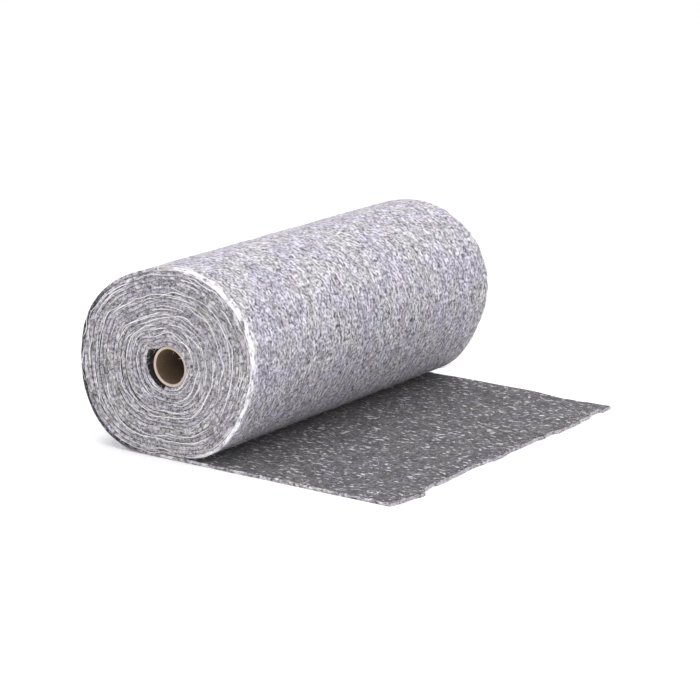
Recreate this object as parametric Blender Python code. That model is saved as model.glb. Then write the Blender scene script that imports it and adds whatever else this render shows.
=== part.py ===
"""Roll of felt: needled felt wound on a cardboard core, with its torn end lying loose on the surface.

The roll lies along Y. Its wound body rests on the origin, and the loose end runs along the surface towards +X.
Everything is in metres, with +Z up and the surface at Z = 0.
"""

import math
from collections import namedtuple

import bmesh
import bpy

# Driving sizes
FELT_WIDTH = 0.600            # cut width of the felt, along Y
FELT_THICK = 0.006            # one layer of felt
ROLL_RADIUS = 0.149           # mean radius of the wound body
AXIS_HEIGHT = 0.1404          # the winding axis above the surface, sunk by the roll's own weight
LOOSE_REACH = 0.388           # how far the loose end runs from under the axis, along X

CORE_BORE_RADIUS = 0.0255     # standard 51 mm bore
CORE_WALL = 0.004             # spiral-wound cardboard
CORE_CENTRE = (0.0061, 0.1358)  # X and Z: the core has settled a little down and towards the loose end
CORE_RECESS = 0.002           # each end of the core sits this far inside the felt's end
PIECE_GAP = 0.0003            # between the core and the felt round it

POCKET_DEPTH = 0.0115         # void beside the core, where the felt's inner end makes a step
POCKET_SIDE = math.radians(180)
POCKET_HALF_ARC = math.radians(52)

EDGE_ROUND = 0.0025           # softness of the cut edges of the felt
EDGE_STEPS = 3
CREVICE_MOUTH = 0.0015        # gap at which the wedge between the roll and the loose end is open
CREVICE_TIP = 0.012           # how much further in the wedge closes

ARC_STEP = math.radians(3)
HOLE_SIDES = 56
TUBE_SIDES = 48

# The sagged outline: waves round the roll, each a share of the radius, highest in one direction
Wave = namedtuple("Wave", "per_turn share direction_deg")
SAG_WAVES = (
    Wave(2, 0.0790, 19),
    Wave(3, 0.0075, 62),
    Wave(4, 0.0185, 39),
    Wave(5, 0.0137, 11),
)

# The outermost layer: it leaves the round at LIFT_FROM and is one layer proud where it meets the surface
LIFT_FROM = math.radians(150)
LIFT_TO = math.radians(255)

# The torn end, from the near side to the far side: place across the felt, and reach along X beyond
# or short of LOOSE_REACH
Torn = namedtuple("Torn", "across reach")
TORN_END = (
    Torn(-0.300, -0.005),
    Torn(-0.290, -0.001),
    Torn(-0.268, 0.001),
    Torn(-0.249, 0.004),
    Torn(-0.238, 0.008),
    Torn(-0.229, 0.006),
    Torn(-0.220, -0.003),
    Torn(-0.196, -0.007),
    Torn(-0.181, -0.003),
    Torn(-0.160, -0.004),
    Torn(-0.138, -0.005),
    Torn(-0.114, -0.006),
    Torn(-0.092, -0.008),
    Torn(-0.073, -0.006),
    Torn(-0.050, -0.005),
    Torn(-0.034, -0.002),
    Torn(-0.017, -0.002),
    Torn(0.010, -0.006),
    Torn(0.030, -0.004),
    Torn(0.056, -0.005),
    Torn(0.078, -0.006),
    Torn(0.094, -0.002),
    Torn(0.118, -0.006),
    Torn(0.134, 0.001),
    Torn(0.158, 0.000),
    Torn(0.182, 0.001),
    Torn(0.205, -0.003),
    Torn(0.226, -0.002),
    Torn(0.244, -0.009),
    Torn(0.266, -0.008),
    Torn(0.280, -0.001),
    Torn(0.292, -0.004),
)

# The loose end's far side isn't quite straight: place along X, and how far it draws in from the cut width
Side = namedtuple("Side", "along drawn_in")
FAR_SIDE = (
    Side(0.230, 0.000),
    Side(0.256, 0.002),
    Side(0.280, 0.009),
    Side(0.302, 0.013),
    Side(0.330, 0.012),
    Side(0.356, 0.009),
    Side(0.384, 0.006),
)
TRIM_MARGIN = 0.050           # how far the trimming shape reaches past the felt

# Colours are linear, with roughness and metallic
Finish = namedtuple("Finish", "colour roughness metallic")
FELT_FINISH = Finish((0.40, 0.37, 0.42), 0.95, 0.0)
CORE_FINISH = Finish((0.36, 0.27, 0.20), 0.85, 0.0)


def clear_scene():
    for item in list(bpy.data.objects):
        bpy.data.objects.remove(item)


def finish_material(name, finish):
    material = bpy.data.materials.new(name)
    material.use_nodes = True
    shader = material.node_tree.nodes["Principled BSDF"]
    shader.inputs["Base Color"].default_value = (*finish.colour, 1.0)
    shader.inputs["Roughness"].default_value = finish.roughness
    shader.inputs["Metallic"].default_value = finish.metallic
    return material


def mesh_object(name, bm, sharp_deg=35):
    """Turn a bmesh into an object, smooth on its round faces, and free the bmesh."""
    bmesh.ops.recalc_face_normals(bm, faces=bm.faces)
    mesh = bpy.data.meshes.new(name)
    bm.to_mesh(mesh)
    bm.free()
    mesh.shade_smooth()
    mesh.set_sharp_from_angle(angle=math.radians(sharp_deg))
    thing = bpy.data.objects.new(name, mesh)
    bpy.context.scene.collection.objects.link(thing)
    return thing


def smooth_step(value, low, high):
    share = min(max((value - low) / (high - low), 0.0), 1.0)
    return share * share * (3.0 - 2.0 * share)


def roll_point(angle):
    """A point (x, z) of the roll's outline, at an angle measured from +X towards +Z."""
    radius = ROLL_RADIUS
    for wave in SAG_WAVES:
        radius += ROLL_RADIUS * wave.share * math.cos(wave.per_turn * (angle - math.radians(wave.direction_deg)))
    radius += FELT_THICK * smooth_step(angle, LIFT_FROM, LIFT_TO)
    return radius * math.cos(angle), AXIS_HEIGHT + radius * math.sin(angle)


def felt_section():
    """The closed outline of the felt in the XZ plane: up round the roll, along the surface, and back on top."""
    angle = math.radians(-90)
    while roll_point(angle)[1] < FELT_THICK + CREVICE_MOUTH:
        angle += math.radians(0.5)
    outline = [(roll_point(angle)[0] - CREVICE_TIP, FELT_THICK)]
    while roll_point(angle)[1] > 0.0:
        outline.append(roll_point(angle))
        angle += ARC_STEP
    outline.append((roll_point(angle)[0], 0.0))
    reach = LOOSE_REACH + TRIM_MARGIN / 2
    outline.append((0.0, 0.0))
    outline.append((reach, 0.0))
    outline.append((reach, FELT_THICK))
    return outline


def inset(outline, distance):
    """The same outline moved inwards, each corner along the mean of its two sides' normals."""
    moved = []
    count = len(outline)
    for index, (x, z) in enumerate(outline):
        before = outline[index - 1]
        after = outline[(index + 1) % count]
        ahead = (after[0] - x, after[1] - z)
        behind = (x - before[0], z - before[1])
        length_a = math.hypot(*ahead)
        length_b = math.hypot(*behind)
        normal_x = -(ahead[1] / length_a + behind[1] / length_b)
        normal_z = ahead[0] / length_a + behind[0] / length_b
        size = math.hypot(normal_x, normal_z)
        moved.append((x + distance * normal_x / size, z + distance * normal_z / size))
    return moved


def prism(name, rings):
    """A closed body through rings of (x, y, z) points, with flat ends."""
    bm = bmesh.new()
    loops = [[bm.verts.new(point) for point in ring] for ring in rings]
    for first, second in zip(loops, loops[1:]):
        count = len(first)
        for index in range(count):
            following = (index + 1) % count
            bm.faces.new((first[index], first[following], second[following], second[index]))
    bm.faces.new(loops[0][::-1])
    bm.faces.new(loops[-1])
    return mesh_object(name, bm)


def hide_helper(helper):
    helper.hide_render = True
    helper.display_type = "WIRE"


def cut_away(body, helper):
    cut = body.modifiers.new("cut_" + helper.name, "BOOLEAN")
    cut.operation = "DIFFERENCE"
    cut.solver = "EXACT"
    cut.object = helper


def wound_body():
    """The wound felt and its loose end, with softened cut edges, before it is bored and torn."""
    outline = felt_section()
    half = FELT_WIDTH / 2
    ends = []
    for step in range(EDGE_STEPS + 1):
        turn = step / EDGE_STEPS * math.pi / 2
        ends.append((EDGE_ROUND * (1 - math.sin(turn)), EDGE_ROUND * (1 - math.cos(turn))))
    rings = []
    for draw_in, along in ends:
        rings.append([(x, -half + along, z) for x, z in inset(outline, draw_in)])
    for draw_in, along in reversed(ends):
        rings.append([(x, half - along, z) for x, z in inset(outline, draw_in)])
    return prism("felt", rings)


def core_hole():
    """The shape that bores the felt: round the core, and bulging into the void beside it."""
    radius = CORE_BORE_RADIUS + CORE_WALL + PIECE_GAP
    centre_x, centre_z = CORE_CENTRE
    outline = []
    for index in range(HOLE_SIDES):
        angle = math.tau * index / HOLE_SIDES
        off = abs(angle - POCKET_SIDE) / POCKET_HALF_ARC
        bulge = POCKET_DEPTH * math.cos(off * math.pi / 2) ** 2 if off < 1 else 0.0
        reach = (radius + bulge) / math.cos(math.pi / HOLE_SIDES)
        outline.append((centre_x + reach * math.cos(angle), centre_z + reach * math.sin(angle)))
    end = FELT_WIDTH / 2 + TRIM_MARGIN
    return prism("core_hole", [[(x, y, z) for x, z in outline] for y in (-end, end)])


def torn_trim():
    """The shape that trims the loose end to its torn outline and its far side."""
    half = FELT_WIDTH / 2
    far = half + TRIM_MARGIN
    beyond = LOOSE_REACH + TRIM_MARGIN
    outline = [(LOOSE_REACH + row.reach, row.across) for row in TORN_END]
    outline += [(row.along, half - row.drawn_in) for row in reversed(FAR_SIDE[1:-1])]
    outline += [(FAR_SIDE[0].along, half + PIECE_GAP), (FAR_SIDE[0].along, far)]
    outline += [(beyond, far), (beyond, -far), (outline[0][0], -far)]
    low = -TRIM_MARGIN
    high = FELT_THICK + TRIM_MARGIN
    return prism("torn_trim", [[(x, y, z) for x, y in outline] for z in (low, high)])


def build_felt():
    felt = wound_body()
    for helper in (core_hole(), torn_trim()):
        hide_helper(helper)
        cut_away(felt, helper)
    felt.data.materials.append(finish_material("needled_felt", FELT_FINISH))


def build_core():
    """A plain cardboard tube, a wall of square section turned about its own axis."""
    half = FELT_WIDTH / 2 - CORE_RECESS
    outer = CORE_BORE_RADIUS + CORE_WALL
    bm = bmesh.new()
    rings = []
    for radius, y in ((outer, -half), (outer, half), (CORE_BORE_RADIUS, half), (CORE_BORE_RADIUS, -half)):
        ring = []
        for index in range(TUBE_SIDES):
            angle = math.tau * index / TUBE_SIDES
            ring.append(bm.verts.new((radius * math.cos(angle), y, radius * math.sin(angle))))
        rings.append(ring)
    for first, second in zip(rings, rings[1:] + rings[:1]):
        for index in range(TUBE_SIDES):
            following = (index + 1) % TUBE_SIDES
            bm.faces.new((first[index], first[following], second[following], second[index]))
    core = mesh_object("core_tube", bm)
    core.location = (CORE_CENTRE[0], 0.0, CORE_CENTRE[1])
    core.data.materials.append(finish_material("cardboard", CORE_FINISH))


def main():
    clear_scene()
    build_felt()
    build_core()


main()
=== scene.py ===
"""Looks of the roll of felt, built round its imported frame: the wound sheet with its loose end, its threads
and fibres, the cardboard core, and a plain studio stage. All sizes are in metres."""

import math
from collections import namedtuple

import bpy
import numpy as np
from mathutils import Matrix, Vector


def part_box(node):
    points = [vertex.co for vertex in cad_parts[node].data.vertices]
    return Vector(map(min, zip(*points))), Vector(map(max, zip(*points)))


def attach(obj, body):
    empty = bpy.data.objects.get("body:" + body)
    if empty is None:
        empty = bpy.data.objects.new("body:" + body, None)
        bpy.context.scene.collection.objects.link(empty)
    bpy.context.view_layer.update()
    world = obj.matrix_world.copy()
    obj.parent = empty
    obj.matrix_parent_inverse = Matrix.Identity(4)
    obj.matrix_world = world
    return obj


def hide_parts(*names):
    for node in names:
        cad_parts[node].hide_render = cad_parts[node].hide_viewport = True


bl_info = {
    "name": "Felt Roll",
    "version": (1, 0, 0),
    "blender": (4, 5, 0),
    "location": "View3D > Sidebar > Felt Roll",
    "description": "Builds a roll of needled felt on a cardboard core, with its torn end loose",
    "category": "Add Mesh",
}

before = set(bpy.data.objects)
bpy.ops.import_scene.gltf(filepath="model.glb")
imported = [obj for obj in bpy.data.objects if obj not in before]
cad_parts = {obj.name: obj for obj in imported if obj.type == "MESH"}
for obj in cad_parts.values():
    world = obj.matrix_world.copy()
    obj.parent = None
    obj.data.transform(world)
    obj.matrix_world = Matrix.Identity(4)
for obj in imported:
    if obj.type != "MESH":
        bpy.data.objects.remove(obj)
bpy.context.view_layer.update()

FELT_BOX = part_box("felt")
CORE_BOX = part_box("core_tube")

# The frame gives the places that the looks are fitted to
HALF_WIDTH = FELT_BOX[1].y
CORE_RADIUS = (CORE_BOX[1].x - CORE_BOX[0].x) / 2
CORE_X = (CORE_BOX[1].x + CORE_BOX[0].x) / 2
CORE_Z = (CORE_BOX[1].z + CORE_BOX[0].z) / 2
CORE_HALF = CORE_BOX[1].y

# The wound outline, as the part is built
AXIS_HEIGHT = 0.1404
ROLL_RADIUS = 0.149
CORE_WALL = 0.004
Wave = namedtuple("Wave", "per_turn share direction_deg")
SAG_WAVES = (
    Wave(2, 0.0790, 19),
    Wave(3, 0.0075, 62),
    Wave(4, 0.0185, 39),
    Wave(5, 0.0137, 11),
)
STEP_FROM = math.radians(150)   # each wind climbs over the last one between these two angles
STEP_TO = math.radians(255)
TURN_START = math.radians(-90)  # turns are counted from straight under the axis
AIR_GAP = 0.00025               # between neighbouring winds

# The void beside the core, where the first wind stands off it: blunt above, closing below
POCKET_DEPTH = 0.0115
POCKET_FROM = math.radians(128)
POCKET_FULL = math.radians(152)
POCKET_TO = math.radians(244)

MILLIMETRE = 0.001
EDGE_DEPTHS = (0.13, 0.36, 0.64, 0.87)   # places through the felt where its cut edge is drawn
EDGE_ROUNDING = (0.5, 0.0, 0.0, 0.5)     # millimetres the cut edge is rounded back at each
CORNER_ROUNDING = 1.3                    # millimetres at its two corners
LUMPS_FROM = 0.06                        # the loose end's top is lumpy from here on
CREVICE_REACH = 0.12                     # how far out the loose end takes painted shade from the roll
LOOSE_SHAPED_FROM = 0.2                  # the loose end's far side is drawn in from here on
TEAR_DEPTH = 0.03                        # the torn end and the drawn-in side lie within this of its box
FIRST_WINDS = 0.3                        # length of felt that may face the void beside the core
SIDE_SHAPED_FROM = 0.2                   # the loose end's far strip, drawn in as a whole

# The studio: where the camera stands, and the soft lights round the roll
CAMERA_PLACE = (2.2607, -3.0495, 1.0747)
Light = namedtuple("Light", "name place size watts")
SOFT_LIGHTS = (
    Light("overhead_soft", (0.2, 0.3, 2.6), (3.0, 3.0), 58),
    Light("front_soft", (0.6, -3.0, 1.6), (2.4, 1.8), 22),
    Light("right_soft", (3.0, 0.4, 1.8), (2.0, 1.8), 16),
)


# ---------------------------------------------------------------- settings

class FeltSettings(bpy.types.PropertyGroup):
    thickness: bpy.props.FloatProperty(
        name="Thickness", description="One layer of felt", default=0.006, min=0.002, max=0.02,
        unit="LENGTH", subtype="DISTANCE")
    winds: bpy.props.IntProperty(
        name="Winds", description="How many times the felt goes round the core", default=18, min=3, max=60)
    grid: bpy.props.FloatProperty(
        name="Fine grid", description="Mesh spacing on the faces that show", default=0.0039,
        min=0.002, max=0.05, unit="LENGTH", subtype="DISTANCE")
    coarse_grid: bpy.props.FloatProperty(
        name="Inner grid", description="Mesh spacing along the inner winds", default=0.0062,
        min=0.002, max=0.05, unit="LENGTH", subtype="DISTANCE")
    coarse_columns: bpy.props.IntProperty(
        name="Inner columns", description="Mesh columns across the inner winds", default=1, min=1, max=50)
    light_side: bpy.props.StringProperty(
        name="Light side", description="sRGB hex colour of the side wound outwards", default="9F9DA4")
    dark_side: bpy.props.StringProperty(
        name="Dark side", description="sRGB hex colour of the side wound inwards", default="4D4B4E")
    cut_edge: bpy.props.StringProperty(
        name="Cut edge", description="sRGB hex colour of the felt's cut edges", default="9B989B")


class CoreSettings(bpy.types.PropertyGroup):
    plies: bpy.props.IntProperty(
        name="Plies", description="Layers of cardboard in the tube's wall", default=4, min=2, max=12)
    facets: bpy.props.IntProperty(
        name="Facets", description="Flats round the tube", default=96, min=24, max=256)
    seam_pitch: bpy.props.FloatProperty(
        name="Seam pitch", description="Length of tube for one turn of its spiral seam", default=0.105,
        min=0.02, max=0.5, unit="LENGTH", subtype="DISTANCE")


class FibreSettings(bpy.types.PropertyGroup):
    end_fibres: bpy.props.IntProperty(
        name="Fibres on each end", description="Loose fibres on each wound end", default=5200,
        min=0, max=9000)
    skin_fibres: bpy.props.IntProperty(
        name="Fibres on the skin", description="Fibres standing off the outside of the roll",
        default=5200, min=0, max=9000)
    torn_fibres: bpy.props.IntProperty(
        name="Fibres on the loose end", description="Fibres on its top and pulled out along its tear",
        default=2600, min=0, max=9000)
    threads: bpy.props.IntProperty(
        name="Binding threads", description="Loose lengths of binding thread on each wound end",
        default=120, min=0, max=1000)
    thread_width: bpy.props.FloatProperty(
        name="Thread width", description="Width of a binding thread", default=0.0009, min=0.0002, max=0.003,
        unit="LENGTH", subtype="DISTANCE")


class StageSettings(bpy.types.PropertyGroup):
    azimuth: bpy.props.FloatProperty(
        name="Azimuth", description="Where the camera stands round the roll", default=math.radians(35.24),
        subtype="ANGLE", unit="ROTATION")
    elevation: bpy.props.FloatProperty(
        name="Elevation", description="Camera height above the horizon", default=math.radians(14.45),
        subtype="ANGLE", unit="ROTATION")
    lens: bpy.props.FloatProperty(
        name="Lens", description="Focal length on a 36 mm sensor", default=134.1, unit="CAMERA")
    floor_colour: bpy.props.StringProperty(
        name="Floor", description="sRGB hex colour of the floor", default="FBFBFC")


# ---------------------------------------------------------------- helpers

def linear(code):
    """An sRGB hex colour as linear red, green, blue and alpha."""
    parts = [int(code[at:at + 2], 16) / 255 for at in (0, 2, 4)]
    return (*[c / 12.92 if c <= 0.04045 else ((c + 0.055) / 1.055) ** 2.4 for c in parts], 1.0)


def node(tree, kind, inputs=None, **settings):
    """Add a shader node with its settings, and set or link its inputs."""
    made = tree.nodes.new(kind)
    for key, value in settings.items():
        setattr(made, key, value)
    for key, value in (inputs or {}).items():
        socket = made.inputs[key]
        if isinstance(value, bpy.types.NodeSocket):
            tree.links.new(value, socket)
        else:
            socket.default_value = value
    return made


def new_material(name):
    """A fresh node material and its Principled shader."""
    material = bpy.data.materials.new(name)
    material.use_nodes = True
    return material, material.node_tree, material.node_tree.nodes["Principled BSDF"]


def smooth_step(value, low, high):
    share = np.clip((value - low) / (high - low), 0.0, 1.0)
    return share * share * (3.0 - 2.0 * share)


def ripple(places, wavelength, rng):
    """Smooth random values from -1 to 1 along a line, with about this wavelength."""
    reach = (places - places.min()) / wavelength
    knots = rng.uniform(-1, 1, int(reach.max()) + 3)
    low = reach.astype(int)
    share = reach - low
    share = share * share * (3 - 2 * share)
    return knots[low] * (1 - share) + knots[low + 1] * share


def patchwork(first, second, wavelength, rng):
    """Smooth random values from -1 to 1 over a surface, given two coordinates in metres."""
    u = (first - first.min()) / wavelength
    v = (second - second.min()) / wavelength
    knots = rng.uniform(-1, 1, (int(u.max()) + 3, int(v.max()) + 3))
    i = u.astype(int)
    j = v.astype(int)
    s = u - i
    t = v - j
    s = s * s * (3 - 2 * s)
    t = t * t * (3 - 2 * t)
    near = knots[i, j] * (1 - s) + knots[i + 1, j] * s
    far = knots[i, j + 1] * (1 - s) + knots[i + 1, j + 1] * s
    return near * (1 - t) + far * t


def make_piece(name, points, faces, materials):
    """A smooth-shaded mesh object from points and a list of face arrays."""
    mesh = bpy.data.meshes.new(name)
    counts = np.concatenate([np.full(len(part), part.shape[1]) for part in faces])
    corners = np.concatenate([part.ravel() for part in faces])
    mesh.vertices.add(len(points))
    mesh.vertices.foreach_set("co", np.asarray(points, np.float32).ravel())
    mesh.loops.add(len(corners))
    mesh.loops.foreach_set("vertex_index", corners.astype(np.int32))
    mesh.polygons.add(len(counts))
    starts = np.concatenate([[0], np.cumsum(counts)[:-1]])
    mesh.polygons.foreach_set("loop_start", starts.astype(np.int32))
    mesh.polygons.foreach_set("use_smooth", np.full(len(counts), True))
    for material in materials:
        mesh.materials.append(material)
    mesh.update(calc_edges=True)
    thing = bpy.data.objects.new(name, mesh)
    bpy.context.scene.collection.objects.link(thing)
    return thing


def add_values(thing, name, values):
    """Keep a number or a vector at each point of a piece, for its material to read."""
    kind = "FLOAT_VECTOR" if values.ndim == 2 else "FLOAT"
    kept = thing.data.attributes.new(name, kind, "POINT")
    field = "vector" if values.ndim == 2 else "value"
    kept.data.foreach_set(field, values.astype(np.float32).ravel())

# ---------------------------------------------------------------- the path of the felt

def around(angle):
    """The same angle, counted from straight under the axis through one turn."""
    return (angle - TURN_START) % math.tau + TURN_START


def core_outline(angle):
    """Where the first wind lies on the core, standing off it over the void at its side."""
    turn = around(angle)
    rise = smooth_step(turn, POCKET_FROM, POCKET_FULL) * (1 - smooth_step(turn, POCKET_FULL, POCKET_TO))
    radius = CORE_RADIUS + AIR_GAP + POCKET_DEPTH * rise
    return np.stack([CORE_X + radius * np.cos(angle), CORE_Z + radius * np.sin(angle)], -1)


def body_outline(angle, thickness, lift):
    """The roll's outline, moved out by a share of one layer, and flat where it lies on what is under it."""
    radius = np.full_like(angle, 1.0)
    for wave in SAG_WAVES:
        radius += wave.share * np.cos(wave.per_turn * (angle - math.radians(wave.direction_deg)))
    radius = ROLL_RADIUS * radius + lift * thickness
    x = radius * np.cos(angle)
    z = AXIS_HEIGHT + radius * np.sin(angle)
    return np.stack([x, np.maximum(z, thickness * (1 - lift))], -1)


def wind_face(angle, winds, thickness):
    """The outward face of the felt at a running angle, which grows by one turn for each wind."""
    turn = around(angle)
    layers = np.round((angle - turn) / math.tau) + smooth_step(turn, STEP_FROM, STEP_TO)
    inner = core_outline(angle)
    outer = body_outline(angle, thickness, 0.0)
    nested = inner + (outer - inner) * np.clip(layers / winds, 0, 1)[:, None]
    last = body_outline(angle, thickness, np.clip(layers - winds, 0, 1))
    return np.where((layers > winds)[:, None], last, nested)


def torn_outline():
    """The loose end's outline from the frame: its reach for each place across, and its far side."""
    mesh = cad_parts["felt"].data
    points = np.empty(len(mesh.vertices) * 3)
    mesh.vertices.foreach_get("co", points)
    points = points.reshape(-1, 3)
    flat = points[(points[:, 2] < MILLIMETRE) & (points[:, 0] > LOOSE_SHAPED_FROM)]
    end = flat[flat[:, 0] > FELT_BOX[1].x - TEAR_DEPTH]
    side = flat[flat[:, 1] > HALF_WIDTH - TEAR_DEPTH]
    return end[np.argsort(end[:, 1])], side[np.argsort(side[:, 0])]


TORN_POINTS, SIDE_POINTS = torn_outline()


def unroll(settings):
    """The wound felt's stations along its length: the running angle, the outward and inward points in the
    roll's section, and how far along the felt each is."""
    angles = [STEP_TO]
    last = TURN_START + math.tau * (settings.winds + 1)
    while angles[-1] < last:
        wound = (angles[-1] - TURN_START) / math.tau / settings.winds
        radius = CORE_RADIUS + (ROLL_RADIUS - CORE_RADIUS) * min(wound, 1)
        spacing = settings.grid if wound > 1 - 0.03 else settings.coarse_grid
        angles.append(angles[-1] + min(spacing / radius, math.radians(8)))
    angles = np.array(angles[:-1] + [last])
    outward = wind_face(angles, settings.winds, settings.thickness)
    below = wind_face(angles - math.tau, settings.winds, settings.thickness)
    first = angles < STEP_TO + math.tau
    lap = smooth_step(around(angles), STEP_FROM, STEP_TO) * (angles > STEP_TO + 1)
    on_core = core_outline(angles)
    on_core += (outward - on_core) * (lap / (1 + lap))[:, None]
    below[first] = on_core[first]
    through = outward - below
    inward = below + through / np.linalg.norm(through, axis=1)[:, None] * AIR_GAP
    steps = np.linalg.norm(np.diff((outward + inward) / 2, axis=0), axis=1)
    return angles, outward, inward, np.concatenate([[0], np.cumsum(steps)])


# ---------------------------------------------------------------- meshes

def grid_faces(first, rows, columns):
    """Quads over a grid of points numbered row by row."""
    corner = first + (np.arange(rows - 1)[:, None] * columns + np.arange(columns - 1)).ravel()
    return np.stack([corner, corner + columns, corner + columns + 1, corner + 1], -1)


def strip_faces(row, following):
    """Quads between two rows of point numbers."""
    return np.stack([row[:-1], following[:-1], following[1:], row[1:]], -1)


def fan_faces(few, many):
    """Triangles between a row of few point numbers and a row of many."""
    faces = []
    share = (len(many) - 1) / (len(few) - 1)
    for index in range(len(few) - 1):
        low = round(index * share)
        high = round((index + 1) * share)
        middle = (low + high) // 2
        faces += [(few[index], many[step], many[step + 1]) for step in range(low, middle)]
        faces.append((few[index], many[middle], few[index + 1]))
        faces += [(few[index + 1], many[step], many[step + 1]) for step in range(middle, high)]
    return np.array(faces)


def tubes(paths, widths, sides=3):
    """Closed thin tubes along paths of shape (count, points, 3), pointed at both ends."""
    count, stops, _ = paths.shape
    ahead = np.gradient(paths, axis=1)
    ahead /= np.linalg.norm(ahead, axis=2, keepdims=True) + 1e-12
    guide = np.where(np.abs(ahead[:, :1, 2:]) > 0.8, [1.0, 0.0, 0.0], [0.0, 0.0, 1.0])
    across = np.cross(ahead, guide)
    across /= np.linalg.norm(across, axis=2, keepdims=True) + 1e-12
    up = np.cross(across, ahead)
    taper = np.sin(np.linspace(0.0, math.pi, stops)) ** 0.35
    taper[[0, -1]] = 0.12
    reach = widths[:, None, None] / 2 * taper[None, :, None]
    turns = np.arange(sides) / sides * math.tau
    rings = [paths + reach * (across * math.cos(turn) + up * math.sin(turn)) for turn in turns]
    points = np.stack(rings, 2).reshape(-1, 3)
    index = np.arange(count * stops * sides).reshape(count, stops, sides)
    after = np.roll(index, -1, axis=2)
    walls = np.stack([index[:, :-1], after[:, :-1], after[:, 1:], index[:, 1:]], -1).reshape(-1, 4)
    start_caps = index[:, 0, ::-1].reshape(-1, sides)
    end_caps = index[:, -1].reshape(-1, sides)
    return points, [walls, start_caps, end_caps]


# ---------------------------------------------------------------- materials

def felt_material(settings):
    """Needled felt of recycled fibres: short fibres of many colours, mostly greys, punched flat and bound
    with white thread. The eye sees a salt-and-pepper grain, soft patches of tint and a faint sheen.
    Single fibres are far under a millimetre, so the grain is drawn at 3 to 7 mm, the size of their clumps."""
    material, tree, shader = new_material("needled recycled-fibre felt")
    place = node(tree, "ShaderNodeAttribute", attribute_name="cloth").outputs["Vector"]
    # The place through the felt, then the painted shade and painted highlight shares kept at each point
    parts = node(tree, "ShaderNodeSeparateXYZ", {0: node(
        tree, "ShaderNodeAttribute", attribute_name="depth_and_painted_light").outputs["Vector"]})
    through, painted_shade, painted_highlight = parts.outputs

    def noise(wavelength, stretch=(1, 1, 1), offset=0.0, detail=2.0, roughness=0.5):
        """Noise whose spots are about this many metres across, drawn out along the felt by the stretch."""
        mapped = node(tree, "ShaderNodeMapping", {
            "Vector": place,
            "Location": (offset, offset, offset),
            "Scale": tuple(1 / (wavelength * share) for share in stretch)})
        made = node(tree, "ShaderNodeTexNoise", {
            "Vector": mapped.outputs[0], "Scale": 1.0, "Detail": detail, "Roughness": roughness})
        return made.outputs["Fac"]

    def between(value, low, high, start=0.0, end=1.0):
        return node(tree, "ShaderNodeMapRange", {
            "Value": value, "From Min": low, "From Max": high, "To Min": start, "To Max": end},
            interpolation_type="SMOOTHSTEP").outputs[0]

    def mix(share, first, second, blend="MIX"):
        made = node(tree, "ShaderNodeMix", data_type="RGBA", blend_type=blend)
        for at, value in ((0, share), (6, first), (7, second)):
            if isinstance(value, bpy.types.NodeSocket):
                tree.links.new(value, made.inputs[at])
            else:
                made.inputs[at].default_value = value
        return made.outputs[2]

    def math_of(operation, first, second):
        return node(tree, "ShaderNodeMath", {0: first, 1: second}, operation=operation).outputs[0]

    side = mix(between(through, 0.88, 0.99), linear(settings.light_side), linear(settings.dark_side))
    on_edge = math_of("MULTIPLY", between(through, 0.02, 0.12), between(through, 0.98, 0.88))
    base = mix(on_edge, side, linear(settings.cut_edge))

    tint = mix(between(noise(0.055, offset=3.1), 0.35, 0.65), linear("BFBFBA"), linear("BAB6C2"))
    tint = mix(between(noise(0.035, offset=7.7), 0.58, 0.75), tint, linear("C4B8BB"))
    tint = mix(between(noise(0.040, offset=9.2), 0.60, 0.78), tint, linear("B2B8C0"))
    tinted = mix(0.75, base, mix(1.0, base, mix(1.0, tint, (1.72, 1.72, 1.72, 1), "MULTIPLY"), "MULTIPLY"))

    grain = noise(0.0044, stretch=(1.2, 1, 1), detail=3.0, roughness=0.65)
    shade = between(grain, 0.34, 0.66, 0.36, 1.66)
    grained = mix(1.0, tinted, shade, "MULTIPLY")
    clumps = between(noise(0.013, stretch=(1.7, 1, 1), offset=1.9), 0.32, 0.68, 0.74, 1.26)
    grained = mix(1.0, grained, clumps, "MULTIPLY")

    dark_flecks = between(noise(0.0066, stretch=(1.1, 1, 1), offset=5.3), 0.60, 0.68)
    flecked = mix(math_of("MULTIPLY", dark_flecks, 0.80), grained, linear("2E2A33"))
    light_flecks = between(noise(0.0056, stretch=(1.8, 0.9, 0.9), offset=8.1), 0.59, 0.69)
    light = mix(through, linear("E6E3EA"), linear("E0DCE2"))
    flecked = mix(math_of("MULTIPLY", light_flecks, 0.62), flecked, light)
    streaks = between(noise(0.0034, stretch=(9, 1, 1), offset=4.4), 0.60, 0.72)
    streaked = math_of("MULTIPLY", math_of("MULTIPLY", streaks, on_edge), 0.5)
    flecked = mix(streaked, flecked, linear("EFEDF1"))

    # Painted shade: mixed towards near-black on the outermost rim, at the roll's foot, near the crevice and
    # in the void beside the core
    with_painted_shade = mix(painted_shade, flecked, linear("1D191C"))
    # Painted highlight: the outermost rim turns near-white in tufts where its highlight share is painted
    tufts = between(noise(0.005, stretch=(2.2, 1, 1), offset=6.6), 0.36, 0.58)
    final = mix(math_of("MULTIPLY", painted_highlight, tufts), with_painted_shade, linear("F0EEF3"))
    tree.links.new(final, shader.inputs["Base Color"])

    shader.inputs["Roughness"].default_value = 0.95
    shader.inputs["Specular IOR Level"].default_value = 0.2
    shader.inputs["Sheen Weight"].default_value = 0.12
    shader.inputs["Sheen Roughness"].default_value = 0.6

    height = math_of("ADD", math_of("MULTIPLY", grain, 1.0), math_of("MULTIPLY", clumps, 0.8))
    bump = node(tree, "ShaderNodeBump", {"Height": height, "Strength": 0.7, "Distance": 0.0022})
    tree.links.new(bump.outputs[0], shader.inputs["Normal"])
    return material


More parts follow.
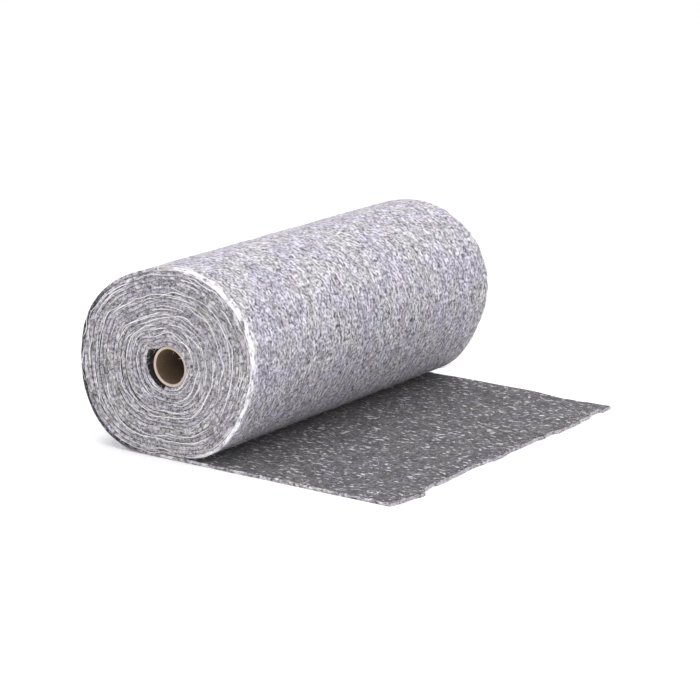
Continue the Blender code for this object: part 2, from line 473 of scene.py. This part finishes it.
def thread_material():
    """Spun polyester binding thread, off-white and faintly glossy: bright hairlines across the felt."""
    material, tree, shader = new_material("spun polyester thread")
    place = node(tree, "ShaderNodeNewGeometry").outputs["Position"]
    slub = node(tree, "ShaderNodeTexNoise", {"Vector": place, "Scale": 140.0, "Detail": 2.0})
    colour = node(tree, "ShaderNodeValToRGB", {0: slub.outputs["Fac"]})
    colour.color_ramp.elements[0].color = linear("DAD7DE")
    colour.color_ramp.elements[1].color = linear("FAF9FB")
    tree.links.new(colour.outputs[0], shader.inputs["Base Color"])
    shader.inputs["Roughness"].default_value = 0.6
    shader.inputs["Sheen Weight"].default_value = 0.2
    return material


def fibre_material():
    """Loose recycled fibres, of cotton, wool and polyester: each hair has its own grey or faint tint."""
    material, tree, shader = new_material("loose recycled fibres")
    own = node(tree, "ShaderNodeAttribute", attribute_name="hue").outputs["Fac"]
    colour = node(tree, "ShaderNodeValToRGB", {0: own})
    ramp = colour.color_ramp
    ramp.elements[0].color = linear("3B363F")
    ramp.elements[1].color = linear("EFEDF2")
    greys = ((0.14, "77717C"), (0.34, "A7A1AB"), (0.55, "BDB7C6"), (0.74, "CFC6CA"), (0.9, "DEDCE2"))
    for place, code in greys:
        ramp.elements.new(place).color = linear(code)
    tree.links.new(colour.outputs[0], shader.inputs["Base Color"])
    shader.inputs["Roughness"].default_value = 0.85
    shader.inputs["Specular IOR Level"].default_value = 0.25
    return material


def cardboard_material():
    """Spirally wound cardboard: brown recycled paper, matt, with a pinkish-buff cut rim."""
    material, tree, shader = new_material("spirally wound cardboard")
    place = node(tree, "ShaderNodeNewGeometry").outputs["Position"]
    pulp = node(tree, "ShaderNodeTexNoise", {
        "Vector": place, "Scale": 420.0, "Detail": 4.0, "Roughness": 0.7})
    patches = node(tree, "ShaderNodeTexNoise", {"Vector": place, "Scale": 45.0, "Detail": 2.0})
    rim = node(tree, "ShaderNodeAttribute", attribute_name="rim").outputs["Fac"]
    brown = node(tree, "ShaderNodeValToRGB", {0: pulp.outputs["Fac"]})
    brown.color_ramp.elements[0].position = 0.3
    brown.color_ramp.elements[0].color = linear("594839")
    brown.color_ramp.elements[1].position = 0.72
    brown.color_ramp.elements[1].color = linear("79664F")
    buff = node(tree, "ShaderNodeValToRGB", {0: patches.outputs["Fac"]})
    buff.color_ramp.elements[0].color = linear("B49F93")
    buff.color_ramp.elements[1].color = linear("CDBBAF")
    both = node(tree, "ShaderNodeMix", data_type="RGBA")
    tree.links.new(rim, both.inputs[0])
    tree.links.new(brown.outputs[0], both.inputs[6])
    tree.links.new(buff.outputs[0], both.inputs[7])
    tree.links.new(both.outputs[2], shader.inputs["Base Color"])
    shader.inputs["Roughness"].default_value = 0.8
    bump = node(tree, "ShaderNodeBump", {
        "Height": pulp.outputs["Fac"], "Strength": 0.3, "Distance": 0.0006})
    tree.links.new(bump.outputs[0], shader.inputs["Normal"])
    return material


def floor_material(colour):
    """Matt painted board: an even, pale ground with a trace of roller texture."""
    material, tree, shader = new_material("matt painted board")
    place = node(tree, "ShaderNodeNewGeometry").outputs["Position"]
    texture = node(tree, "ShaderNodeTexNoise", {"Vector": place, "Scale": 60.0, "Detail": 3.0})
    shade = node(tree, "ShaderNodeMapRange", {
        "Value": texture.outputs["Fac"], "To Min": 0.985, "To Max": 1.0})
    mixed = node(tree, "ShaderNodeMix", data_type="RGBA", blend_type="MULTIPLY")
    mixed.inputs[0].default_value = 1.0
    mixed.inputs[6].default_value = linear(colour)
    tree.links.new(shade.outputs[0], mixed.inputs[7])
    tree.links.new(mixed.outputs[2], shader.inputs["Base Color"])
    shader.inputs["Roughness"].default_value = 0.9
    return material


# ---------------------------------------------------------------- operators

def painted_light_shares(places, points, through, lengths, angles, winds):
    """How dark and how bright each point is painted: painted shade on the outermost wind's rim on the side
    away from the loose end, and a painted highlight on that rim on the side towards it."""
    angle = np.interp(places[:, 0], lengths, angles)
    last = (places[:, 0] <= lengths[-1]) & (angle > TURN_START + math.tau * winds)
    turn = np.where(last, around(angle), math.pi)
    at_edge = smooth_step(np.abs(places[:, 1]), HALF_WIDTH - 0.006, HALF_WIDTH - 0.0015) * last
    # Painted shade on the outermost wind's rim, on the side away from the loose end
    painted_rim_shade = smooth_step(turn, math.radians(128), math.radians(146))
    painted_rim_shade *= 1 - smooth_step(turn, math.radians(236), math.radians(262))
    # Painted highlight on the outermost wind's rim, on the side towards the loose end
    fluffed = smooth_step(turn, math.radians(-88), math.radians(-50))
    fluffed *= 1 - smooth_step(turn, math.radians(62), math.radians(105))
    # Painted shade: darker where the roll meets its loose end, on the loose end's top near the roll, and in
    # the void beside the core
    low = smooth_step(math.radians(-36) - turn, 0.0, math.radians(34)) * last * (through < 0.01)
    under = smooth_step(CREVICE_REACH - points[:, 0], 0.0, CREVICE_REACH) * (places[:, 0] > lengths[-1])
    from_core = np.hypot(points[:, 0] - CORE_X, points[:, 2] - CORE_Z)
    beside = from_core < CORE_RADIUS + POCKET_DEPTH + MILLIMETRE
    # Painted shade on the first winds' inner face in the void beside the core
    hidden = beside * (through > 0.99) * (places[:, 0] < FIRST_WINDS)
    dark = np.maximum.reduce([
        at_edge * painted_rim_shade * 0.94, low * 0.78, under * 0.45 * (through > 0.99), hidden * 0.9])
    return dark, at_edge * fluffed * 0.85


class BuildFelt(bpy.types.Operator):
    """Wind the felt on its core and lay out its torn end"""
    bl_idname = "felt_roll.build_felt"
    bl_label = "Felt"

    def execute(self, context):
        settings = context.scene.felt_settings
        rng = np.random.default_rng(11)
        angles, outward, inward, lengths = unroll(settings)
        wound_count = len(angles)
        columns = round(2 * HALF_WIDTH / settings.grid)

        # Cut edges: each wind stands a little proud of the next or back from it, and its edge wanders
        whole = np.arange(settings.winds + 3)
        place = (angles - TURN_START) / math.tau
        edges = []
        for _ in range(2):
            steady = np.interp(place, whole, rng.uniform(-0.9, 0.9, len(whole)))
            wander = 1.0 * ripple(lengths, 0.120, rng) + 0.55 * ripple(lengths, 0.021, rng)
            edges.append(HALF_WIDTH + (steady + wander) * MILLIMETRE)
        near, far = -edges[0], edges[1]

        # The loose end goes on from the last wound station to the tear
        reach = FELT_BOX[1].x
        loose = np.linspace(0, 1, round(reach / settings.grid) + 1)[1:]
        near = np.concatenate([near, near[-1] - 0.8 * MILLIMETRE * ripple(loose * reach, 0.06, rng)])
        far = np.concatenate([far, far[-1] + 0.8 * MILLIMETRE * ripple(loose * reach, 0.06, rng)])
        count = len(near)
        fine_out = int(np.argmax(place > settings.winds - 0.03))
        fine_in = wound_count - 1

        def row_points(station, across, through):
            """Points of one station, for these places across the felt and through it."""
            if station < wound_count:
                start, end = outward[station], inward[station]
                spot = start + (end - start) * through[:, None]
                wound = np.stack([spot[:, 0], across, spot[:, 1]], -1)
                return wound, np.full(len(across), lengths[station])
            travel = loose[station - wound_count]
            tear = np.interp(across, TORN_POINTS[:, 1], TORN_POINTS[:, 0])
            x = travel * tear
            drawn_in = np.interp(x, SIDE_POINTS[:, 0], SIDE_POINTS[:, 1], left=HALF_WIDTH) - HALF_WIDTH
            share = np.clip((across - SIDE_SHAPED_FROM) / (HALF_WIDTH - SIDE_SHAPED_FROM), 0, 1)
            z = through * (settings.thickness - AIR_GAP)
            return np.stack([x, across + drawn_in * share, z], -1), lengths[-1] + x

        points, places, throughs = [], [], []

        def add_row(station, across, through):
            """Add points and give their numbers."""
            found, along = row_points(station, across, through)
            first = sum(len(part) for part in points)
            points.append(found)
            places.append(np.stack([along, across], -1))
            throughs.append(through)
            return np.arange(first, first + len(found))

        depth = np.array(EDGE_DEPTHS)
        rounding = np.array(EDGE_ROUNDING) * MILLIMETRE
        corner = CORNER_ROUNDING * MILLIMETRE
        rows = []
        for station in range(count):
            low, high = near[station], far[station]
            out_columns = columns if station >= fine_out else settings.coarse_columns
            in_columns = columns if station >= fine_in else settings.coarse_columns
            out_across = np.linspace(low + corner, high - corner, out_columns + 1)
            in_across = np.linspace(low + corner, high - corner, in_columns + 1)
            rows.append((
                add_row(station, out_across, np.zeros(out_columns + 1)),
                add_row(station, high - rounding, depth),
                add_row(station, in_across, np.ones(in_columns + 1)),
                add_row(station, low + rounding, depth)))

        faces = []
        for row, following in zip(rows[:-1], rows[1:]):
            for part, other, back in ((0, 0, False), (2, 2, True)):
                few, many = row[part], following[other]
                if len(few) == len(many):
                    made = strip_faces(few, many)
                else:
                    made = fan_faces(few, many)
                faces.append(made[:, ::-1] if back else made)
            far_row = np.concatenate([row[0][-1:], row[1], row[2][-1:]])
            far_next = np.concatenate([following[0][-1:], following[1], following[2][-1:]])
            near_row = np.concatenate([row[0][:1], row[3], row[2][:1]])
            near_next = np.concatenate([following[0][:1], following[3], following[2][:1]])
            faces.append(strip_faces(far_row, far_next))
            faces.append(strip_faces(near_row, near_next)[:, ::-1])

        for station, turned in ((0, False), (count - 1, True)):
            out_row, far_part, in_row, near_part = rows[station]
            layers = [out_row]
            for step, share in enumerate(EDGE_DEPTHS):
                inner = np.linspace(near[station] + corner, far[station] - corner, len(out_row))[1:-1]
                middle = add_row(station, inner, np.full(len(inner), share))
                layers.append(np.concatenate([near_part[step:step + 1], middle, far_part[step:step + 1]]))
            layers.append(in_row)
            for lower, upper in zip(layers[:-1], layers[1:]):
                made = strip_faces(lower, upper)
                faces.append(made if turned else made[:, ::-1])

        points = np.concatenate(points)
        places = np.concatenate(places)
        through = np.concatenate(throughs)
        kinds = {}
        for part in faces:
            kinds.setdefault(part.shape[1], []).append(part)
        faces = [np.concatenate(part) for part in kinds.values()]

        # Soft lumps of uneven fibre stand in the outer skin and in the top of the loose end
        lumps = 0.5 * patchwork(places[:, 0], places[:, 1], 0.045, rng)
        lumps += 0.3 * patchwork(places[:, 0], places[:, 1], 0.014, rng)
        loose_top = (places[:, 0] > lengths[-1] + LUMPS_FROM) * (through > 0.99)
        turn = np.interp(places[:, 0], lengths, angles)
        skin = (through < 0.01) * (turn > TURN_START + math.tau * settings.winds + 1)
        skin = skin * (points[:, 2] > LUMPS_FROM / 3)
        outwards = points - np.array([0.0, 0.0, AXIS_HEIGHT])
        outwards[:, 1] = 0.0
        outwards /= np.linalg.norm(outwards, axis=1)[:, None]
        points += outwards * (lumps * MILLIMETRE * skin)[:, None]
        points[:, 2] += (lumps - 0.5) * MILLIMETRE * loose_top

        cloth = np.column_stack([places, through * settings.thickness])
        piece = make_piece("felt_sheet", points, faces, [felt_material(settings)])
        add_values(piece, "cloth", cloth)
        # Painted shade and painted highlight shares, kept with the place through the felt
        dark, bright = painted_light_shares(places, points, through, lengths, angles, settings.winds)
        depth_and_painted_light = np.column_stack([through, dark, bright])
        add_values(piece, "depth_and_painted_light", depth_and_painted_light)
        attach(piece, "root")
        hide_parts("felt")
        return {"FINISHED"}


class BuildCore(bpy.types.Operator):
    """Wind the cardboard core from its plies, with a spiral seam in the bore"""
    bl_idname = "felt_roll.build_core"
    bl_label = "Core"

    def execute(self, context):
        settings = context.scene.core_settings
        rng = np.random.default_rng(5)
        bore = CORE_RADIUS - CORE_WALL
        ply = CORE_WALL / settings.plies
        # The section runs in through the bore, over the far rim's plies, back outside, and over the near rim
        section = []
        lengthways = np.linspace(-CORE_HALF + 2 * MILLIMETRE, CORE_HALF - 2 * MILLIMETRE, 60)
        section += [(bore, y, 0.0) for y in lengthways]
        steps = rng.uniform(0.0, 0.7, settings.plies) * MILLIMETRE
        section += self.rim(bore, ply, steps, 1)
        section += [(CORE_RADIUS, y, 0.0) for y in lengthways[::-6]]
        section += self.rim(bore, ply, steps, -1)[::-1]
        section = np.array(section)
        turns = np.arange(settings.facets) / settings.facets * math.tau
        radius, along, rim = section.T
        twist = (turns[:, None] + along / settings.seam_pitch * math.tau) % math.tau
        seam = np.exp(-(np.minimum(twist, math.tau - twist) * bore / (1.4 * MILLIMETRE)) ** 2)
        inside = radius < bore + MILLIMETRE / 10
        sagging = 0.25 * MILLIMETRE * np.cos(2 * turns + 1.1)[:, None]
        radius = radius[None, :] + 0.35 * MILLIMETRE * seam * inside + sagging
        radius = np.minimum(radius, CORE_RADIUS)
        x = CORE_X + radius * np.cos(turns)[:, None]
        z = CORE_Z + radius * np.sin(turns)[:, None]
        wave = 0.3 * MILLIMETRE * np.sin(3 * turns + 0.4)[:, None] * rim
        y = along[None, :] + wave
        points = np.stack([x, y, z], -1).reshape(-1, 3)
        index = np.arange(len(points)).reshape(len(turns), len(section))
        after = np.roll(index, -1, axis=0)
        following = np.roll(index, -1, axis=1)
        both = np.roll(after, -1, axis=1)
        walls = np.stack([index, after, both, following], -1).reshape(-1, 4)
        piece = make_piece("core", points, [walls], [cardboard_material()])
        add_values(piece, "rim", np.broadcast_to(rim, radius.shape).ravel().copy())
        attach(piece, "root")
        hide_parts("core_tube")
        return {"FINISHED"}

    def rim(self, bore, ply, steps, side):
        """One end of the tube, each ply a little longer or shorter than the next."""
        found = []
        for layer, step in enumerate(steps):
            y = side * (CORE_HALF - step)
            rounded = y - side * ply * 0.3
            found += [(bore + ply * (layer + 0.12), rounded, 0.8),
                      (bore + ply * (layer + 0.5), y, 1.0),
                      (bore + ply * (layer + 0.88), rounded, 0.8)]
        return found


def grow(places, normals, along, reach, lean, rng, stops=4):
    """Curved hairs from places on the felt: they lie along it and rise by their lean."""
    count = len(places)
    side = np.cross(normals, along)
    turn = rng.uniform(0, math.tau, count)[:, None]
    heading = along * np.cos(turn) + side * np.sin(turn)
    curl = (-along * np.sin(turn) + side * np.cos(turn)) * rng.uniform(-0.6, 0.6, count)[:, None]
    share = np.linspace(0, 1, stops)[None, :, None]
    rise = np.sin(share * math.pi * 0.62)
    return (places[:, None] + heading[:, None] * share * reach[:, None, None]
            + curl[:, None] * share ** 2 * reach[:, None, None]
            + normals[:, None] * (rise * (lean * reach)[:, None, None] - 0.0003))


def hairs_piece(name, paths, widths, hues, material):
    """One joined piece of hairs, each with its own hue value."""
    points, faces = tubes(paths, widths)
    points[:, 2] = points[:, 2].clip(0.0002, None)
    piece = make_piece(name, points, faces, [material])
    add_values(piece, "hue", np.repeat(hues, len(points) // len(paths)))
    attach(piece, "root")
    return piece


class GrowFibres(bpy.types.Operator):
    """Raise the loose fibres on both wound ends, on the skin and on the loose end"""
    bl_idname = "felt_roll.grow_fibres"
    bl_label = "Fibres"

    def execute(self, context):
        settings = context.scene.fibre_settings
        felt = context.scene.felt_settings
        material = fibre_material()
        _, outward, inward, lengths = unroll(felt)
        rng = np.random.default_rng(23)
        for name, side in (("fibres_near_end", -1), ("fibres_far_end", 1)):
            count = settings.end_fibres
            spot = np.interp(rng.uniform(lengths[0], lengths[-1], count), lengths, np.arange(len(lengths)))
            low = spot.astype(int)
            part = (spot - low)[:, None]
            high = np.minimum(low + 1, len(lengths) - 1)
            through = rng.uniform(0, 1, count)[:, None] ** 1.6
            start = outward[low] * (1 - part) + outward[high] * part
            end = inward[low] * (1 - part) + inward[high] * part
            place = start + (end - start) * through
            ahead = outward[high] - outward[low]
            ahead /= np.linalg.norm(ahead, axis=1)[:, None] + 1e-12
            end_face = np.full(count, side * (HALF_WIDTH + 0.0002))
            places = np.column_stack([place[:, 0], end_face, place[:, 1]])
            along = np.column_stack([ahead[:, 0], np.zeros(count), ahead[:, 1]])
            normals = np.tile([0.0, side, 0.0], (count, 1))
            reach = rng.gamma(3.0, 0.0024, count).clip(0.003, 0.018)
            paths = grow(places, normals, along, reach, rng.uniform(0.05, 0.32, count), rng)
            widths = rng.uniform(0.00022, 0.0005, count)
            hairs_piece(name, paths, widths, rng.beta(2.2, 1.3, count), material)

        count = settings.skin_fibres
        turn = math.tau * (felt.winds + rng.uniform(0, 1, count)) + TURN_START
        body = wind_face(turn, felt.winds, felt.thickness)
        nudge = wind_face(turn + 0.01, felt.winds, felt.thickness) - body
        ahead = nudge / (np.linalg.norm(nudge, axis=1)[:, None] + 1e-12)
        across = rng.uniform(-HALF_WIDTH + 0.002, HALF_WIDTH - 0.002, count)
        places = np.column_stack([body[:, 0], across, body[:, 1]])
        along = np.column_stack([ahead[:, 0], np.zeros(count), ahead[:, 1]])
        normals = np.column_stack([ahead[:, 1], np.zeros(count), -ahead[:, 0]])
        clear = body[:, 1] > 0.016
        reach = rng.gamma(3.0, 0.0022, count).clip(0.003, 0.016)
        paths = grow(places, normals, along, reach, rng.uniform(0.04, 0.30, count), rng)[clear]
        hairs_piece("fibres_skin", paths, rng.uniform(0.00022, 0.00042, count)[clear],
                    rng.beta(2.0, 1.2, count)[clear], material)

        count = settings.torn_fibres
        pulled = rng.uniform(0, 1, count) < 0.6
        across = rng.uniform(-HALF_WIDTH, HALF_WIDTH - 0.004, count)
        tear = np.interp(across, TORN_POINTS[:, 1], TORN_POINTS[:, 0])
        x = np.where(pulled, tear - 0.001, rng.uniform(0.08, 1, count) * (tear - 0.004))
        height = np.where(pulled, rng.uniform(0.001, felt.thickness, count), felt.thickness)
        places = np.column_stack([x, across, height])
        along = np.tile([1.0, 0.0, 0.0], (count, 1))
        normals = np.tile([0.0, 0.0, 1.0], (count, 1))
        reach = rng.gamma(3.0, 0.0026, count).clip(0.003, 0.018)
        lean = np.where(pulled, rng.uniform(-0.10, 0.12, count), rng.uniform(0.05, 0.3, count))
        paths = grow(places, normals, along, reach, lean, rng)
        paths[:, :, 2] = paths[:, :, 2].clip(0.0004, None)
        hairs_piece("fibres_loose_end", paths, rng.uniform(0.00022, 0.00045, count),
                    rng.beta(1.7, 1.3, count), material)
        return {"FINISHED"}


class LayThreads(bpy.types.Operator):
    """Lay the loose lengths of binding thread that follow the winds on both ends"""
    bl_idname = "felt_roll.lay_threads"
    bl_label = "Binding threads"

    def execute(self, context):
        settings = context.scene.fibre_settings
        felt = context.scene.felt_settings
        _, outward, inward, lengths = unroll(felt)
        rng = np.random.default_rng(41)
        stops = 16
        paths = []
        for side in (-1, 1):
            for _ in range(settings.threads):
                run = rng.gamma(2.0, 0.022) + 0.012
                first = rng.uniform(lengths[0], lengths[-1] - run - 0.01)
                along = first + np.linspace(0, run, stops)
                through = rng.uniform(0.0, 0.9) + 0.55 * ripple(along, 0.022, rng)
                start = np.stack([np.interp(along, lengths, outward[:, axis]) for axis in (0, 1)], -1)
                end = np.stack([np.interp(along, lengths, inward[:, axis]) for axis in (0, 1)], -1)
                spot = start + (end - start) * through[:, None]
                proud = HALF_WIDTH + 0.0014 + 0.0010 * np.abs(ripple(along, 0.011, rng))
                paths.append(np.column_stack([spot[:, 0], side * proud, spot[:, 1]]))
        paths = np.array(paths)
        widths = settings.thread_width * rng.uniform(0.7, 1.5, len(paths))
        points, faces = tubes(paths, widths, sides=4)
        piece = make_piece("binding_threads", points, faces, [thread_material()])
        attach(piece, "root")
        return {"FINISHED"}


class BuildStage(bpy.types.Operator):
    """Set up the floor, the soft lights and the camera"""
    bl_idname = "felt_roll.build_stage"
    bl_label = "Stage"

    def execute(self, context):
        settings = context.scene.stage_settings
        scene = context.scene
        scene.view_settings.view_transform = "Standard"

        reach = 6.0
        ticks = np.linspace(-reach, reach, 13)
        grid = np.stack(np.meshgrid(ticks, ticks, indexing="ij"), -1).reshape(-1, 2)
        points = np.column_stack([grid, np.zeros(len(grid))])
        paint = floor_material(settings.floor_colour)
        floor = make_piece("floor", points, [grid_faces(0, len(ticks), len(ticks))], [paint])

        world = bpy.data.worlds.new("studio")
        world.use_nodes = True
        world.node_tree.nodes["Background"].inputs["Color"].default_value = (1, 1, 1, 1)
        world.node_tree.nodes["Background"].inputs["Strength"].default_value = 1.0
        scene.world = world

        middle = Vector((0.08, 0, 0.12))
        for name, spot, size, power in SOFT_LIGHTS:
            light = bpy.data.lights.new(name, "AREA")
            light.shape = "RECTANGLE"
            light.size, light.size_y = size
            light.energy = power
            lamp = bpy.data.objects.new(name, light)
            lamp.location = spot
            lamp.rotation_euler = (middle - Vector(spot)).to_track_quat("-Z", "Y").to_euler()
            scene.collection.objects.link(lamp)

        back = Vector((math.sin(settings.azimuth) * math.cos(settings.elevation),
                       -math.cos(settings.azimuth) * math.cos(settings.elevation),
                       math.sin(settings.elevation)))
        lens = bpy.data.cameras.new("camera")
        lens.lens = settings.lens
        camera = bpy.data.objects.new("camera", lens)
        camera.location = CAMERA_PLACE
        camera.rotation_euler = back.to_track_quat("Z", "Y").to_euler()
        scene.collection.objects.link(camera)
        scene.camera = camera
        return {"FINISHED"}


class FeltRollPanel(bpy.types.Panel):
    """The roll's settings and a button for each of its pieces"""
    bl_idname = "VIEW3D_PT_felt_roll"
    bl_label = "Felt Roll"
    bl_space_type = "VIEW_3D"
    bl_region_type = "UI"
    bl_category = "Felt Roll"

    def draw(self, context):
        for kept, group in SETTINGS:
            for name in group.__annotations__:
                self.layout.prop(getattr(context.scene, kept), name)
        for operator in OPERATORS:
            self.layout.operator(operator.bl_idname)


SETTINGS = (("felt_settings", FeltSettings), ("core_settings", CoreSettings),
            ("fibre_settings", FibreSettings), ("stage_settings", StageSettings))
OPERATORS = (BuildFelt, BuildCore, GrowFibres, LayThreads, BuildStage)


def register():
    for kept, group in SETTINGS:
        bpy.utils.register_class(group)
        setattr(bpy.types.Scene, kept, bpy.props.PointerProperty(type=group))
    for shown in (*OPERATORS, FeltRollPanel):
        bpy.utils.register_class(shown)


def unregister():
    for shown in (FeltRollPanel, *OPERATORS[::-1]):
        bpy.utils.unregister_class(shown)
    for kept, group in SETTINGS[::-1]:
        delattr(bpy.types.Scene, kept)
        bpy.utils.unregister_class(group)


def main():
    """Build every piece and the stage."""
    register()
    bpy.ops.felt_roll.build_felt()
    bpy.ops.felt_roll.build_core()
    bpy.ops.felt_roll.grow_fibres()
    bpy.ops.felt_roll.lay_threads()
    bpy.ops.felt_roll.build_stage()


if __name__ == "__main__":
    main()
